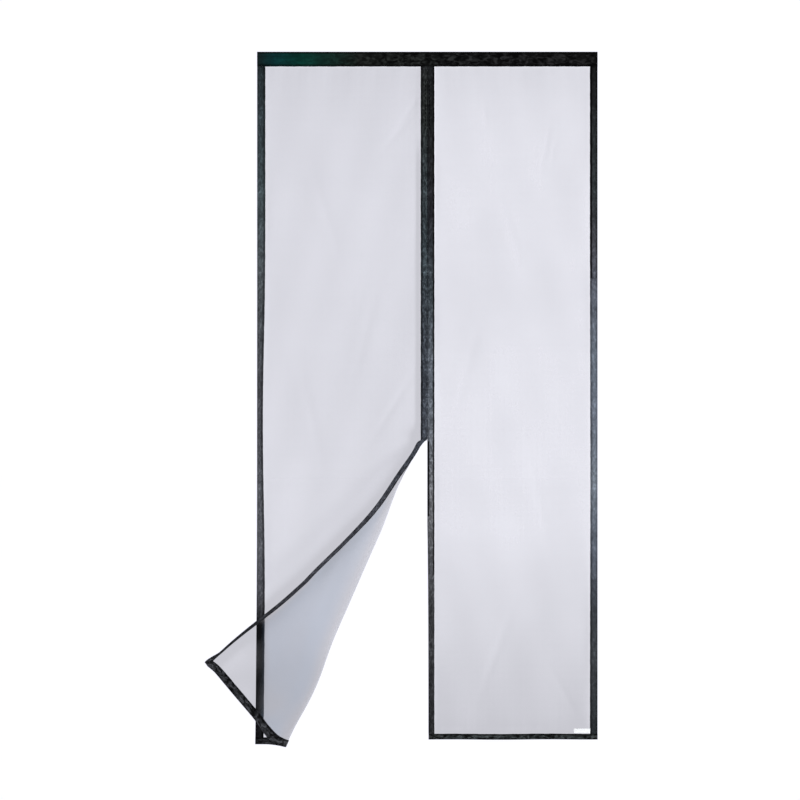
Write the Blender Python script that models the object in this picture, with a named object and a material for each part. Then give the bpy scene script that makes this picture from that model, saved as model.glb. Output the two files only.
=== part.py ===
"""A two-panel magnetic insect screen for a doorway, hanging from its header band.

The left panel's lower inner corner is folded over toward the front, so its free edge rolls forward,
crosses the left edge tape and stands a little outside it. Metres, +Z up, +X to the viewer's right,
the front faces -Y. The origin is the middle of the header's back face, which rests on the door frame.
"""
import bpy
import bmesh
import numpy as np

# Overall size
WIDTH = 1.000
HEIGHT = 2.021
HEADER_HEIGHT = 0.041

# Cloth and bindings
NET_THICKNESS = 0.0004
PLY = 0.0008
CLEARANCE = 0.0003
EDGE_TAPE_WIDTH = 0.0215
INNER_HEM_WIDTH = 0.0205
BOTTOM_HEM_WIDTH = 0.0195
NET_INSET = 0.003
CENTRE_GAP = 0.0006
RIGHT_TAPE_JOIN = 0.655

# Hook strips sewn to the back of the header and of both edge tapes
HOOK_STRIP_WIDTH = 0.016
HOOK_STRIP_THICKNESS = 0.0012
HOOK_STRIP_END = 0.010

# Magnets in the two inner hems
MAGNETS_PER_HEM = 7
MAGNET_WIDTH = 0.009
MAGNET_LENGTH = 0.020
MAGNET_THICKNESS = 0.0012
MAGNET_FROM_TOP = 0.082
MAGNET_FROM_FOOT = 0.277
MAGNET_FROM_EDGE = 0.004
POCKET_CLEARANCE = 0.0009
HEM_MOUTH = 0.0045

# Blank care label on the right panel
LABEL_WIDTH = 0.048
LABEL_HEIGHT = 0.014
LABEL_THICKNESS = 0.0003

# The fold of the left panel: where the seam opens, and the slope of the roll from the vertical
OPENING_DEPTH = 1.132
FOLD_ANGLE = np.radians(21.0)
ROLL_TURN = np.radians(195.0)
ROLL_SLACK = 1.060
ROLL_LENGTH = 1.000
ROLL_RADIUS = 0.0640
FOLD_SETBACK = 0.0687
# Shares of those three, from the opening to the foot: place along the roll, its radius there,
# and how far the fold stands back from the line through the opening
PLACE_SHARE = np.array([0.0, 0.12, 0.30, 0.55, 0.82, 0.91, 1.0])
RADIUS_SHARE = np.array([0.20, 1.01, 0.99, 1.13, 0.74, 1.02, 0.80])
SETBACK_SHARE = np.array([-0.02, 0.47, 0.47, 0.68, 0.76, 0.94, 1.0])
# The free edge curls back toward the viewer over this stretch before the hem
CURL_TURN = np.radians(55.0)
CURL_START = 0.060
CURL_END = 0.025
# The folded corner's weight pulls the foot of the left panel forward
FOOT_SWING = 0.046

# The edge tapes hang slightly turned: depth of the widest turn and half its length, as shares of the height
LEFT_TURN = np.radians(50.0)
LEFT_TURN_PLACE = 0.43
LEFT_TURN_REACH = 0.40
RIGHT_TURN = np.radians(32.0)
RIGHT_TURN_PLACE = 0.62
RIGHT_TURN_REACH = 0.44
TURN_FADE = 0.15
TURN_INSET = 0.003

# Gentle waves in the net
WAVE_HEIGHT = 0.0025
WAVE_WIDTH = 0.33
WAVE_LENGTH = 0.59
WAVE_EASE = 0.25

# Mesh pitch
COLUMN_PITCH = 0.0215
RIGHT_COLUMN_PITCH = 0.046
COARSE_PITCH = 0.088
FINE_PITCH = 0.012
FINE_ROWS_ABOVE = 3
FINE_ROWS_BELOW = 12
FLAP_PITCH = 0.028

# Derived places
TOP = HEADER_HEIGHT / 2
BOTTOM = TOP - HEIGHT
HEADER_LIP = TOP - HEADER_HEIGHT
BOTTOM_LIP = BOTTOM + BOTTOM_HEM_WIDTH
HALF_WIDTH = WIDTH / 2
MAGNET_PITCH = (HEIGHT - MAGNET_FROM_TOP - MAGNET_FROM_FOOT) / (MAGNETS_PER_HEM - 1)
OPENING_Z = TOP - OPENING_DEPTH
BINDING_INSIDE = NET_THICKNESS / 2 + CLEARANCE
BINDING_HALF = BINDING_INSIDE + PLY
POCKET_INSIDE = MAGNET_THICKNESS / 2 + POCKET_CLEARANCE
POCKET_HALF = POCKET_INSIDE + PLY
NET_Y = -(HOOK_STRIP_THICKNESS + CLEARANCE + BINDING_HALF)
LEFT, RIGHT = -1, 1

COLOURS = {
    "net": ((0.62, 0.63, 0.68, 1.0), 0.75),
    "tape": ((0.022, 0.024, 0.026, 1.0), 0.80),
    "slate_tape": ((0.060, 0.068, 0.078, 1.0), 0.75),
    "hook": ((0.012, 0.012, 0.013, 1.0), 0.95),
    "magnet": ((0.30, 0.31, 0.32, 1.0), 0.35),
    "label": ((0.86, 0.86, 0.84, 1.0), 0.60),
}


def smooth_step(value):
    """0 below 0, 1 above 1, with a smooth rise between."""
    value = np.clip(value, 0.0, 1.0)
    return value * value * (3.0 - 2.0 * value)


def smooth_through(places, values, at):
    """A cubic curve through a few values, held constant past both ends."""
    slopes = np.gradient(values, places)
    i = np.clip(np.searchsorted(places, at, side="right") - 1, 0, len(places) - 2)
    span = places[i + 1] - places[i]
    t = np.clip((at - places[i]) / span, 0.0, 1.0)
    rise = smooth_step(t)
    start_pull = t * (1.0 - t) ** 2 * span * slopes[i]
    end_pull = t * t * (t - 1.0) * span * slopes[i + 1]
    return values[i] * (1.0 - rise) + values[i + 1] * rise + start_pull + end_pull


def edge_turn(side, z):
    """How far the edge tape is turned on itself at this height."""
    angle, place, reach = LEFT_TURN, LEFT_TURN_PLACE, LEFT_TURN_REACH
    if side == RIGHT:
        angle, place, reach = RIGHT_TURN, RIGHT_TURN_PLACE, RIGHT_TURN_REACH
    off = np.clip(((TOP - z) / HEIGHT - place) / reach, -1.0, 1.0)
    return angle * np.cos(off * np.pi / 2) ** 2


def hang(side, x, z, t):
    """Places flat panel points in space: x, z on the flat panel and t in front of the net's middle plane.

    The outer tape turns about its edge, the net has low waves, and on the left the part past the fold line
    rolls forward on a radius that changes along the fold, runs back in front of the panel and curls at its edge.
    """
    x, z, t = np.broadcast_arrays(np.asarray(x, float), z, t)
    in_from_edge = HALF_WIDTH - side * x
    turn = edge_turn(side, z)
    on_tape = np.minimum(in_from_edge, EDGE_TAPE_WIDTH)
    fade = 1.0 - smooth_step((in_from_edge - EDGE_TAPE_WIDTH) / TURN_FADE)
    narrowing = TURN_INSET * np.sin(turn) - on_tape * (1.0 - np.cos(turn))
    forward = on_tape * np.sin(turn) * fade
    flat_x = x - side * narrowing * fade
    waves = np.sin(2 * np.pi * (x / WAVE_WIDTH + z / WAVE_LENGTH)) * np.sin(np.pi * in_from_edge / HALF_WIDTH)
    ease_in = smooth_step((HEADER_LIP - z) / WAVE_EASE)
    forward = forward + WAVE_HEIGHT * waves * ease_in
    on_turned_tape = np.where(in_from_edge <= EDGE_TAPE_WIDTH, turn, 0.0)
    lean_x = side * t * np.sin(on_turned_tape)
    lean_y = -t * np.cos(on_turned_tape)
    if side == RIGHT:
        return np.stack([flat_x + lean_x, NET_Y - forward + lean_y, z], axis=-1)

    along_x, along_z = -np.sin(FOLD_ANGLE), -np.cos(FOLD_ANGLE)
    across_x, across_z = np.cos(FOLD_ANGLE), -np.sin(FOLD_ANGLE)
    along = flat_x * along_x + (z - OPENING_Z) * along_z
    across = flat_x * across_x + (z - OPENING_Z) * across_z
    radius = ROLL_RADIUS * smooth_through(PLACE_SHARE, RADIUS_SHARE, along / ROLL_LENGTH)
    tangent = -(radius + FOLD_SETBACK * smooth_through(PLACE_SHARE, SETBACK_SHARE, along / ROLL_LENGTH))
    rolled = np.maximum(across - tangent, 0.0)
    to_edge = -flat_x / np.cos(FOLD_ANGLE)
    arc_end = radius * ROLL_TURN
    curl_share = np.clip((rolled + to_edge - arc_end) / CURL_START, 0.0, 1.0)
    curl_begin = rolled + to_edge - CURL_START * curl_share
    curl_length = (CURL_START - CURL_END) * curl_share
    curl_radius = (CURL_START - CURL_END) / CURL_TURN

    arc = np.minimum(rolled, arc_end) / radius
    run = np.clip(np.minimum(rolled, curl_begin) - arc_end, 0.0, None)
    curl = np.clip(rolled - curl_begin, 0.0, curl_length) * (rolled > arc_end)
    heading = ROLL_TURN - curl / curl_radius
    tail = np.clip(rolled - curl_begin - curl_length, 0.0, None) * (rolled > arc_end)
    reach = (radius * np.sin(arc) + run * np.cos(ROLL_TURN)
             + curl_radius * (np.sin(ROLL_TURN) - np.sin(heading)) + tail * np.cos(heading))
    lift = (radius * (1.0 - np.cos(arc)) + run * np.sin(ROLL_TURN)
            + curl_radius * (np.cos(heading) - np.cos(ROLL_TURN)) + tail * np.sin(heading))
    facing = np.where(rolled < arc_end, arc, heading)

    on_roll = rolled > 0.0
    across_out = np.where(on_roll, tangent + ROLL_SLACK * reach, across) - t * np.sin(facing)
    out_x = along * along_x + across_out * across_x + lean_x
    out_z = OPENING_Z + along * along_z + across_out * across_z
    swing = FOOT_SWING * np.clip((OPENING_Z - out_z) / (OPENING_Z - BOTTOM), 0.0, None) ** 2
    out_y = NET_Y - forward - ROLL_SLACK * lift * on_roll + lean_y * np.cos(facing) - swing
    return np.stack([out_x, out_y, out_z], axis=-1)


def stations(*spans):
    """Evenly spaced places over several joined spans, each given as start, end and pitch."""
    places = [np.linspace(a, b, max(1, int(round(abs(b - a) / pitch))) + 1)[:-1] for a, b, pitch in spans]
    return np.append(np.concatenate(places), spans[-1][1])


def magnet_rows(number):
    """Heights of the top, middle and foot of one magnet."""
    centre = TOP - MAGNET_FROM_TOP - number * MAGNET_PITCH
    return centre + MAGNET_LENGTH * np.array([0.5, 0.0, -0.5])


def panel_rows(side):
    """Heights of the mesh rows between the header's lip and the bottom hem's lip.

    On the folded part each magnet gets rows of its own, so it bends as the hem round it does.
    """
    start, end = HEADER_LIP - CLEARANCE, BOTTOM_LIP + CLEARANCE
    if side == RIGHT:
        return stations((start, end, COARSE_PITCH))
    loose = OPENING_Z + FINE_ROWS_ABOVE * FINE_PITCH
    tight_end = OPENING_Z - FINE_ROWS_BELOW * FINE_PITCH
    rows = stations((start, loose, COARSE_PITCH), (loose, tight_end, FINE_PITCH), (tight_end, end, FLAP_PITCH))
    own = np.concatenate([magnet_rows(number) for number in range(MAGNETS_PER_HEM)])
    own = own[(own < loose) & (own > end + MAGNET_LENGTH)]
    if own.size:
        apart = np.abs(rows[:, None] - own[None, :]).min(axis=1) > MAGNET_LENGTH / 3
        apart[[0, -1]] = True
        rows = np.sort(np.concatenate([rows[apart], own]))[::-1]
    return rows


def panel_columns(side):
    """Places across a panel from the edge tape's lip to the inner hem's lip."""
    outer = HALF_WIDTH - EDGE_TAPE_WIDTH
    inner = CENTRE_GAP / 2 + INNER_HEM_WIDTH
    return side * stations((outer, inner, RIGHT_COLUMN_PITCH if side == RIGHT else COLUMN_PITCH))


def finish(name, vertices, faces, material, collection):
    """Makes one closed body from points and faces."""
    mesh = bpy.data.meshes.new(name)
    work = bmesh.new()
    points = [work.verts.new(v) for v in vertices]
    for face in faces:
        work.faces.new([points[i] for i in face])
    bmesh.ops.recalc_face_normals(work, faces=work.faces)
    work.to_mesh(mesh)
    work.free()
    for polygon in mesh.polygons:
        polygon.use_smooth = True
    body = bpy.data.objects.new(name, mesh)
    mesh.materials.append(material)
    collection.objects.link(body)
    return body


def thick_sheet(name, front, back, flat, material, collection):
    """A closed body between two matching grids of points, with walls round its four sides.

    flat holds each grid point's place on the flat panel. Every cell is split along the diagonal that rises
    to the right on the flat panel, so layers that lie on each other bend alike.
    """
    rows, columns = front.shape[:2]
    vertices = np.concatenate([front.reshape(-1, 3), back.reshape(-1, 3)])
    index = np.arange(rows * columns).reshape(rows, columns)
    other = index + rows * columns

    step = flat[1:, 1:] - flat[:-1, :-1]
    rising = (step[..., 0] * step[..., 1] > 0.0)[..., None]

    def cells(grid):
        a, b, c, d = grid[:-1, :-1], grid[1:, :-1], grid[1:, 1:], grid[:-1, 1:]
        first = np.where(rising, np.stack([a, b, c], axis=-1), np.stack([a, b, d], axis=-1))
        second = np.where(rising, np.stack([a, c, d], axis=-1), np.stack([b, c, d], axis=-1))
        return np.concatenate([first.reshape(-1, 3), second.reshape(-1, 3)])

    def wall(line, opposite):
        return np.stack([line[:-1], line[1:], opposite[1:], opposite[:-1]], axis=-1)

    faces = cells(index).tolist() + cells(other)[:, ::-1].tolist()
    for cut in ((0, slice(None)), (-1, slice(None)), (slice(None), 0), (slice(None), -1)):
        faces += wall(index[cut], other[cut]).tolist()
    return finish(name, vertices.tolist(), faces, material, collection)


def binding_section(width, mouth_inside, belly_inside):
    """Cross-section of a folded tape: distances from the folded edge, and the outer and inner surfaces.

    It runs from the front lip round the fold to the back lip. A pocketed hem is wider inside than at its mouth.
    """
    outside = [(NET_INSET, belly_inside + PLY), (NET_INSET / 5, (belly_inside + PLY) * 0.7)]
    inside = [(NET_INSET, belly_inside), (PLY * 1.3, belly_inside * 0.6)]
    if belly_inside > mouth_inside:
        neck = width - HEM_MOUTH
        for distance in ((neck + NET_INSET) / 2, neck):
            outside.insert(0, (distance, belly_inside + PLY))
            inside.insert(0, (distance, belly_inside))
    outside.insert(0, (width, mouth_inside + PLY))
    inside.insert(0, (width, mouth_inside))
    outside = outside + [(0.0, 0.0)] + [(d, -t) for d, t in outside[::-1]]
    inside = inside + [(PLY, 0.0)] + [(d, -t) for d, t in inside[::-1]]
    return np.array(outside), np.array(inside)


def hung_piece(name, side, front, back, material, collection):
    """A thin closed body between two surfaces, each given as x, z and t on the flat panel."""
    front = np.broadcast_arrays(*front)
    back = np.broadcast_arrays(*back)
    flat = np.stack(front[:2], axis=-1)
    return thick_sheet(name, hang(side, *front), hang(side, *back), flat, material, collection)


def side_binding(name, side, rows, section, outer_edge, material, collection):
    """A folded tape along a panel's outer or inner edge."""
    surfaces = []
    for distance, t in (surface.T for surface in section):
        x = side * (HALF_WIDTH - distance) if outer_edge else side * (CENTRE_GAP / 2 + distance)
        surfaces.append((x[None, :], rows[:, None], t[None, :]))
    return hung_piece(name, side, surfaces[0], surfaces[1], material, collection)


def foot_binding(name, side, columns, section, material, collection):
    """A folded tape along a panel's lower edge."""
    surfaces = [(columns[:, None], BOTTOM + distance[None, :], t[None, :])
                for distance, t in (surface.T for surface in section)]
    return hung_piece(name, side, surfaces[0], surfaces[1], material, collection)


def layer(name, side, x, z, t_front, t_back, material, collection):
    """A thin flat piece that follows the hanging panel."""
    front = (x[None, :], z[:, None], np.float64(t_front))
    back = (x[None, :], z[:, None], np.float64(t_back))
    return hung_piece(name, side, front, back, material, collection)


def build_panel(side, name, materials, collection):
    """One half of the screen: its net, edge tape, inner hem, bottom hem, hook strip and magnets."""
    rows = panel_rows(side)
    columns = panel_columns(side)
    net_columns = np.concatenate([[side * (HALF_WIDTH - NET_INSET)], columns,
                                  [side * (CENTRE_GAP / 2 + INNER_HEM_WIDTH - HEM_MOUTH)]])
    net_rows = np.concatenate([[TOP - NET_INSET], rows, [BOTTOM + NET_INSET]])
    half_net = NET_THICKNESS / 2
    layer(name + "_net", side, net_columns, net_rows, half_net, -half_net, materials["net"], collection)

    edge_section = binding_section(EDGE_TAPE_WIDTH, BINDING_INSIDE, BINDING_INSIDE)
    hem_section = binding_section(INNER_HEM_WIDTH, BINDING_INSIDE, POCKET_INSIDE)
    foot_section = binding_section(BOTTOM_HEM_WIDTH, BINDING_INSIDE, BINDING_INSIDE)
    if side == RIGHT:
        join = rows[np.argmin(np.abs(rows - (TOP - RIGHT_TAPE_JOIN)))]
        upper = np.append(rows[rows > join], join + CLEARANCE / 2)
        lower = np.append(join - CLEARANCE / 2, rows[rows < join])
        side_binding("right_edge_tape_upper", side, upper, edge_section, True, materials["tape"], collection)
        side_binding("right_edge_tape_lower", side, lower, edge_section, True, materials["slate_tape"], collection)
    else:
        side_binding("left_edge_tape", side, rows, edge_section, True, materials["slate_tape"], collection)
    side_binding(name + "_inner_hem", side, rows, hem_section, False, materials["tape"], collection)

    foot_columns = np.concatenate([[side * HALF_WIDTH], columns, [side * CENTRE_GAP / 2]])
    foot_binding(name + "_bottom_hem", side, foot_columns, foot_section, materials["tape"], collection)

    strip_out = HALF_WIDTH - (EDGE_TAPE_WIDTH - HOOK_STRIP_WIDTH) / 2
    strip_x = side * np.array([strip_out, strip_out - HOOK_STRIP_WIDTH])
    strip_front = -(BINDING_HALF + CLEARANCE)
    layer(name + "_hook_strip", side, strip_x, rows, strip_front, strip_front - HOOK_STRIP_THICKNESS,
          materials["hook"], collection)

    for number in range(MAGNETS_PER_HEM):
        magnet_z = magnet_rows(number)
        magnet_x = side * (CENTRE_GAP / 2 + MAGNET_FROM_EDGE + MAGNET_WIDTH * np.linspace(0.0, 1.0, 3))
        half = MAGNET_THICKNESS / 2
        layer("%s_magnet_%d" % (name, number + 1), side, magnet_x, magnet_z, half, -half,
              materials["magnet"], collection)


def build():
    for old in list(bpy.data.objects):
        bpy.data.objects.remove(old, do_unlink=True)
    collection = bpy.context.scene.collection
    materials = {}
    for name, (colour, roughness) in COLOURS.items():
        material = bpy.data.materials.new(name)
        material.use_nodes = True
        shader = material.node_tree.nodes["Principled BSDF"]
        shader.inputs["Base Color"].default_value = colour
        shader.inputs["Roughness"].default_value = roughness
        materials[name] = material

    build_panel(LEFT, "left", materials, collection)
    build_panel(RIGHT, "right", materials, collection)

    header_x = HALF_WIDTH * np.array([-1.0, 1.0])
    grids = []
    for distance, t in (surface.T for surface in binding_section(HEADER_HEIGHT, BINDING_INSIDE, BINDING_INSIDE)):
        grids.append(np.stack(np.broadcast_arrays(header_x[:, None], NET_Y - t, TOP - distance), axis=-1))
    thick_sheet("header_band", grids[0], grids[1], grids[0][..., ::2], materials["tape"], collection)

    strip_x = (HALF_WIDTH - HOOK_STRIP_END) * np.array([-1.0, 1.0])
    strip_z = HOOK_STRIP_WIDTH / 2 * np.array([1.0, -1.0])
    back = np.stack(np.broadcast_arrays(strip_x[None, :], 0.0, strip_z[:, None]), axis=-1)
    front = back - np.array([0.0, HOOK_STRIP_THICKNESS, 0.0])
    thick_sheet("header_hook_strip", front, back, back[..., ::2], materials["hook"], collection)

    label_right = HALF_WIDTH - EDGE_TAPE_WIDTH - CLEARANCE
    label_x = np.array([label_right - LABEL_WIDTH, label_right])
    label_z = BOTTOM_LIP + CLEARANCE + LABEL_HEIGHT * np.array([1.0, 0.0])
    label_back = NET_THICKNESS / 2 + CLEARANCE
    layer("care_label", RIGHT, label_x, label_z, label_back + LABEL_THICKNESS, label_back,
          materials["label"], collection)


build()
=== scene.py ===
"""A two-panel magnetic insect screen, dressed in net, woven tape and thread, hanging from its header.

Every cloth piece is worked out on the flat panel, as x across, z up and t in front of the net, and then
hung by one function, so nets, tapes, stitches and label all roll and turn together. Lengths are in metres.
"""

import bpy
import numpy as np
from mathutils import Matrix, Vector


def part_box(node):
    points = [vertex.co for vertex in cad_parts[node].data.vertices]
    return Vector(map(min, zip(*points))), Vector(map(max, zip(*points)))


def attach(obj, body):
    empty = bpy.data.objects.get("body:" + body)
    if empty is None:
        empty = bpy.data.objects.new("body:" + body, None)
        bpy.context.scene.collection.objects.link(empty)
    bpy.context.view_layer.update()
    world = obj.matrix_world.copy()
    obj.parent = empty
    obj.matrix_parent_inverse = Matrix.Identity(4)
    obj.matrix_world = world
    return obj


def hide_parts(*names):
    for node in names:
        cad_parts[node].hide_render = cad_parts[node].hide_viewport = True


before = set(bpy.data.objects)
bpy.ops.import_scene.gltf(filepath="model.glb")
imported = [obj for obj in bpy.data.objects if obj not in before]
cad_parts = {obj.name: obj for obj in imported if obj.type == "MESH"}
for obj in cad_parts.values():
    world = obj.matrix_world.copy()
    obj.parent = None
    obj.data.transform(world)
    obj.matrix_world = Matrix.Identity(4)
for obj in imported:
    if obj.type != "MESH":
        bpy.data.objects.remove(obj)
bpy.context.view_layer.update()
scene = bpy.context.scene

# Overall size, as the solids have it
WIDTH = 1.000
HEIGHT = 2.021
HEADER_HEIGHT = 0.041
NET_THICKNESS = 0.0004
PLY = 0.0008
CLEARANCE = 0.0003
EDGE_TAPE_WIDTH = 0.0215
INNER_HEM_WIDTH = 0.0205
BOTTOM_HEM_WIDTH = 0.0195
NET_INSET = 0.003
HEM_MOUTH = 0.0045
CENTRE_GAP = 0.0006
STRIP_WIDTH = 0.016
STRIP_THICKNESS = 0.0012
MAGNETS_PER_HEM = 7
MAGNET_LENGTH = 0.020
MAGNET_WIDTH = 0.009
MAGNET_FROM_EDGE = 0.004
MAGNET_FROM_TOP = 0.082
MAGNET_FROM_FOOT = 0.277
MAGNET_HALF = 0.0006
POCKET_CLEARANCE = 0.0009

# The fold of the left panel
OPENING_DEPTH = 1.132
FOLD_ANGLE = np.radians(21.0)
ROLL_TURN = np.radians(195.0)
ROLL_SLACK = 1.060
ROLL_LENGTH = 1.000
ROLL_RADIUS = 0.0640
FOLD_SETBACK = 0.0687
PLACE_SHARE = np.array([0.0, 0.12, 0.30, 0.55, 0.82, 0.91, 1.0])
RADIUS_SHARE = np.array([0.20, 1.01, 0.99, 1.13, 0.74, 1.02, 0.80])
SETBACK_SHARE = np.array([-0.02, 0.47, 0.47, 0.68, 0.76, 0.94, 1.0])
CURL_TURN = np.radians(55.0)
CURL_START = 0.060
CURL_END = 0.025
FOOT_SWING = 0.046

# Below the opening the freed hem twists about its seam, crumples and stands off the picture at its own angle
HEM_TWIST_START, HEM_TWIST = 0.012, 0.055
HEM_CRUMPLE, CRUMPLE_PLACE, CRUMPLE_LENGTH = 3.0, 0.016, 0.018
# That angle at the opening, and its changes further down: how much, from what depth and over what length
HEM_STANCE = np.radians(51.0)
STANCE_CHANGES = ((np.radians(11.0), 0.24, 0.16), (np.radians(20.0), 0.62, 0.30))
TIP_EASE, TIP_EASE_LENGTH = np.radians(36.0), 0.060

# The edge tapes' turn dies away into the net, and the net has waves
TURN_FADE = 0.15
WAVE_HEIGHT, WAVE_WIDTH, WAVE_LENGTH, WAVE_EASE = 0.0025, 0.33, 0.59, 0.25

# Derived places
TOP = HEADER_HEIGHT / 2
BOTTOM = TOP - HEIGHT
HEADER_LIP = TOP - HEADER_HEIGHT
HEM_SEAM = CENTRE_GAP / 2 + INNER_HEM_WIDTH
BOTTOM_LIP = BOTTOM + BOTTOM_HEM_WIDTH
HALF_WIDTH = WIDTH / 2
OPENING_Z = TOP - OPENING_DEPTH
MAGNET_PITCH = (HEIGHT - MAGNET_FROM_TOP - MAGNET_FROM_FOOT) / (MAGNETS_PER_HEM - 1)
BINDING_INSIDE = NET_THICKNESS / 2 + CLEARANCE
BINDING_HALF = BINDING_INSIDE + PLY
POCKET_INSIDE = MAGNET_HALF + POCKET_CLEARANCE
POCKET_HALF = POCKET_INSIDE + PLY
BULGE_FRONT, BULGE_BACK = 0.0007, -0.0003
MAGNET_MIDDLE = MAGNET_FROM_EDGE + MAGNET_WIDTH / 2
NET_Y = -(STRIP_THICKNESS + CLEARANCE + BINDING_HALF)
STRIP_BACK = -(BINDING_HALF + CLEARANCE + STRIP_THICKNESS)
LEFT, RIGHT = SIDES = (-1, 1)
SIDE_NAME = {LEFT: "left", RIGHT: "right"}
# The edge tapes' widths and their turn: its angle, and its place and reach as shares of the height
TAPE_WIDTH = {LEFT: 0.0240, RIGHT: 0.0222}
EDGE_TURN = {LEFT: (np.radians(42.0), 0.54, 0.32), RIGHT: (np.radians(14.0), 0.62, 0.44)}
HEM_SHARE = {LEFT: 0.935, RIGHT: 1.0}

# Detail
NET_STEP = 0.006
TAPE_STEP = 0.005
FINE_STEP, FINE_ROWS, FINE_BAND = 0.0015, 11, 0.018
SEAM_STEP = 0.0001
HEM_TOUCH = 0.000002
HEM_DRAWN, DRAWN_FROM, DRAWN_LENGTH = 0.0034, -1.37, 0.18
HEADER_LIP_DROP = 0.0022
RIGHT_FOOT_RISE = 0.0006
RIGHT_FOOT_SHARE = 0.85
FOOT_BELLY, BELLY_PLACE, BELLY_LENGTH, BELLY_AT_LIP = 0.0120, -0.295, 0.056, 0.65
STITCH_PITCH = 0.0042
STITCH_LENGTH = 0.0030
STITCH_INSET = 0.0035
THREAD_RADIUS = 0.00022
SELVAGE_WIDTH = 0.0050
BARE_EDGE = 0.08
BASTING_TOP, BASTING_FOOT = -0.070, -0.215
BASTING_INSET = 0.0060
BASTING_LENGTH = 0.0075
BASTING_RADIUS = 0.0011
FLOOR_Z = BOTTOM - 0.025

# Where the header's lip shows, where the upright tapes start and end, and the magnets' heights
LIP_SHOWN = HEADER_LIP - HEADER_LIP_DROP
TAPE_TOP = LIP_SHOWN - CLEARANCE
TAPE_FOOT = {LEFT: BOTTOM_LIP + CLEARANCE,
             RIGHT: BOTTOM + RIGHT_FOOT_RISE + BOTTOM_HEM_WIDTH * RIGHT_FOOT_SHARE + CLEARANCE}
MAGNETS_AT = [TOP - MAGNET_FROM_TOP - number * MAGNET_PITCH for number in range(MAGNETS_PER_HEM)]

# Patterns that repeat, in millimetres: the tape's threads, the net's, the thread's twist, the ribbon's ribs
WARP_PITCH, WEFT_PITCH = 0.9, 0.7
NET_PITCH = 1.6
TWIST_PITCH = 0.35
RIB_PITCH = 0.5
# How much of its ground the net covers, and the blue of its threads
NET_COVER = 0.43
NET_BLUE = {LEFT: 1.05, RIGHT: 1.03}
# How far a selvage fades and a bare edge reaches, in selvages, and the crinkles' painted highlights and shade as
# stops of place and lightness
RIM_FADE, BARE_WIDTH = 1.35, 1.45
CRINKLE_MIDDLE = 0.52
CRINKLE_PAINTED_LIGHT = ((-1.0, -1.0), (-0.3, -0.3), (0.3, 0.6), (1.0, 2.4))

# The camera stands straight in front, at this distance, and sees this width of the screen's plane
CAMERA_DISTANCE = 3.50
VIEW_WIDTH = 2.352
CAMERA_X, CAMERA_Z = -0.0803, -1.0025
SENSOR = 36.0
STUDIO_WHITE = (0.917, 0.917, 1.0, 1.0)
ROOM_LIGHT, ROOM_SEEN, FLOOR_SEEN = 0.46, 1.105, 1.095


# The hang of the cloth

def smooth_step(value):
    """0 below 0, 1 above 1, and 3v^2 - 2v^3 between."""
    value = np.clip(value, 0.0, 1.0)
    return value * value * (3.0 - 2.0 * value)


def near(value, reach):
    """1 at 0, and exp(-(value / reach)^2) on both sides of it."""
    return np.exp(-(value / reach) ** 2)


def smooth_through(places, values, at):
    """A cubic curve through a few values, held constant past both ends."""
    slopes = np.gradient(values, places)
    i = np.clip(np.searchsorted(places, at, side="right") - 1, 0, len(places) - 2)
    span = places[i + 1] - places[i]
    t = np.clip((at - places[i]) / span, 0.0, 1.0)
    rise = smooth_step(t)
    start_pull = t * (1.0 - t) ** 2 * span * slopes[i]
    end_pull = t * t * (t - 1.0) * span * slopes[i + 1]
    return values[i] * (1.0 - rise) + values[i + 1] * rise + start_pull + end_pull


def edge_turn(side, z):
    """How far the edge tape is turned on itself at this height: an angle times cos squared."""
    angle, place, reach = EDGE_TURN[side]
    off = np.clip(((TOP - z) / HEIGHT - place) / reach, -1.0, 1.0)
    return angle * np.cos(off * np.pi / 2) ** 2


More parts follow.
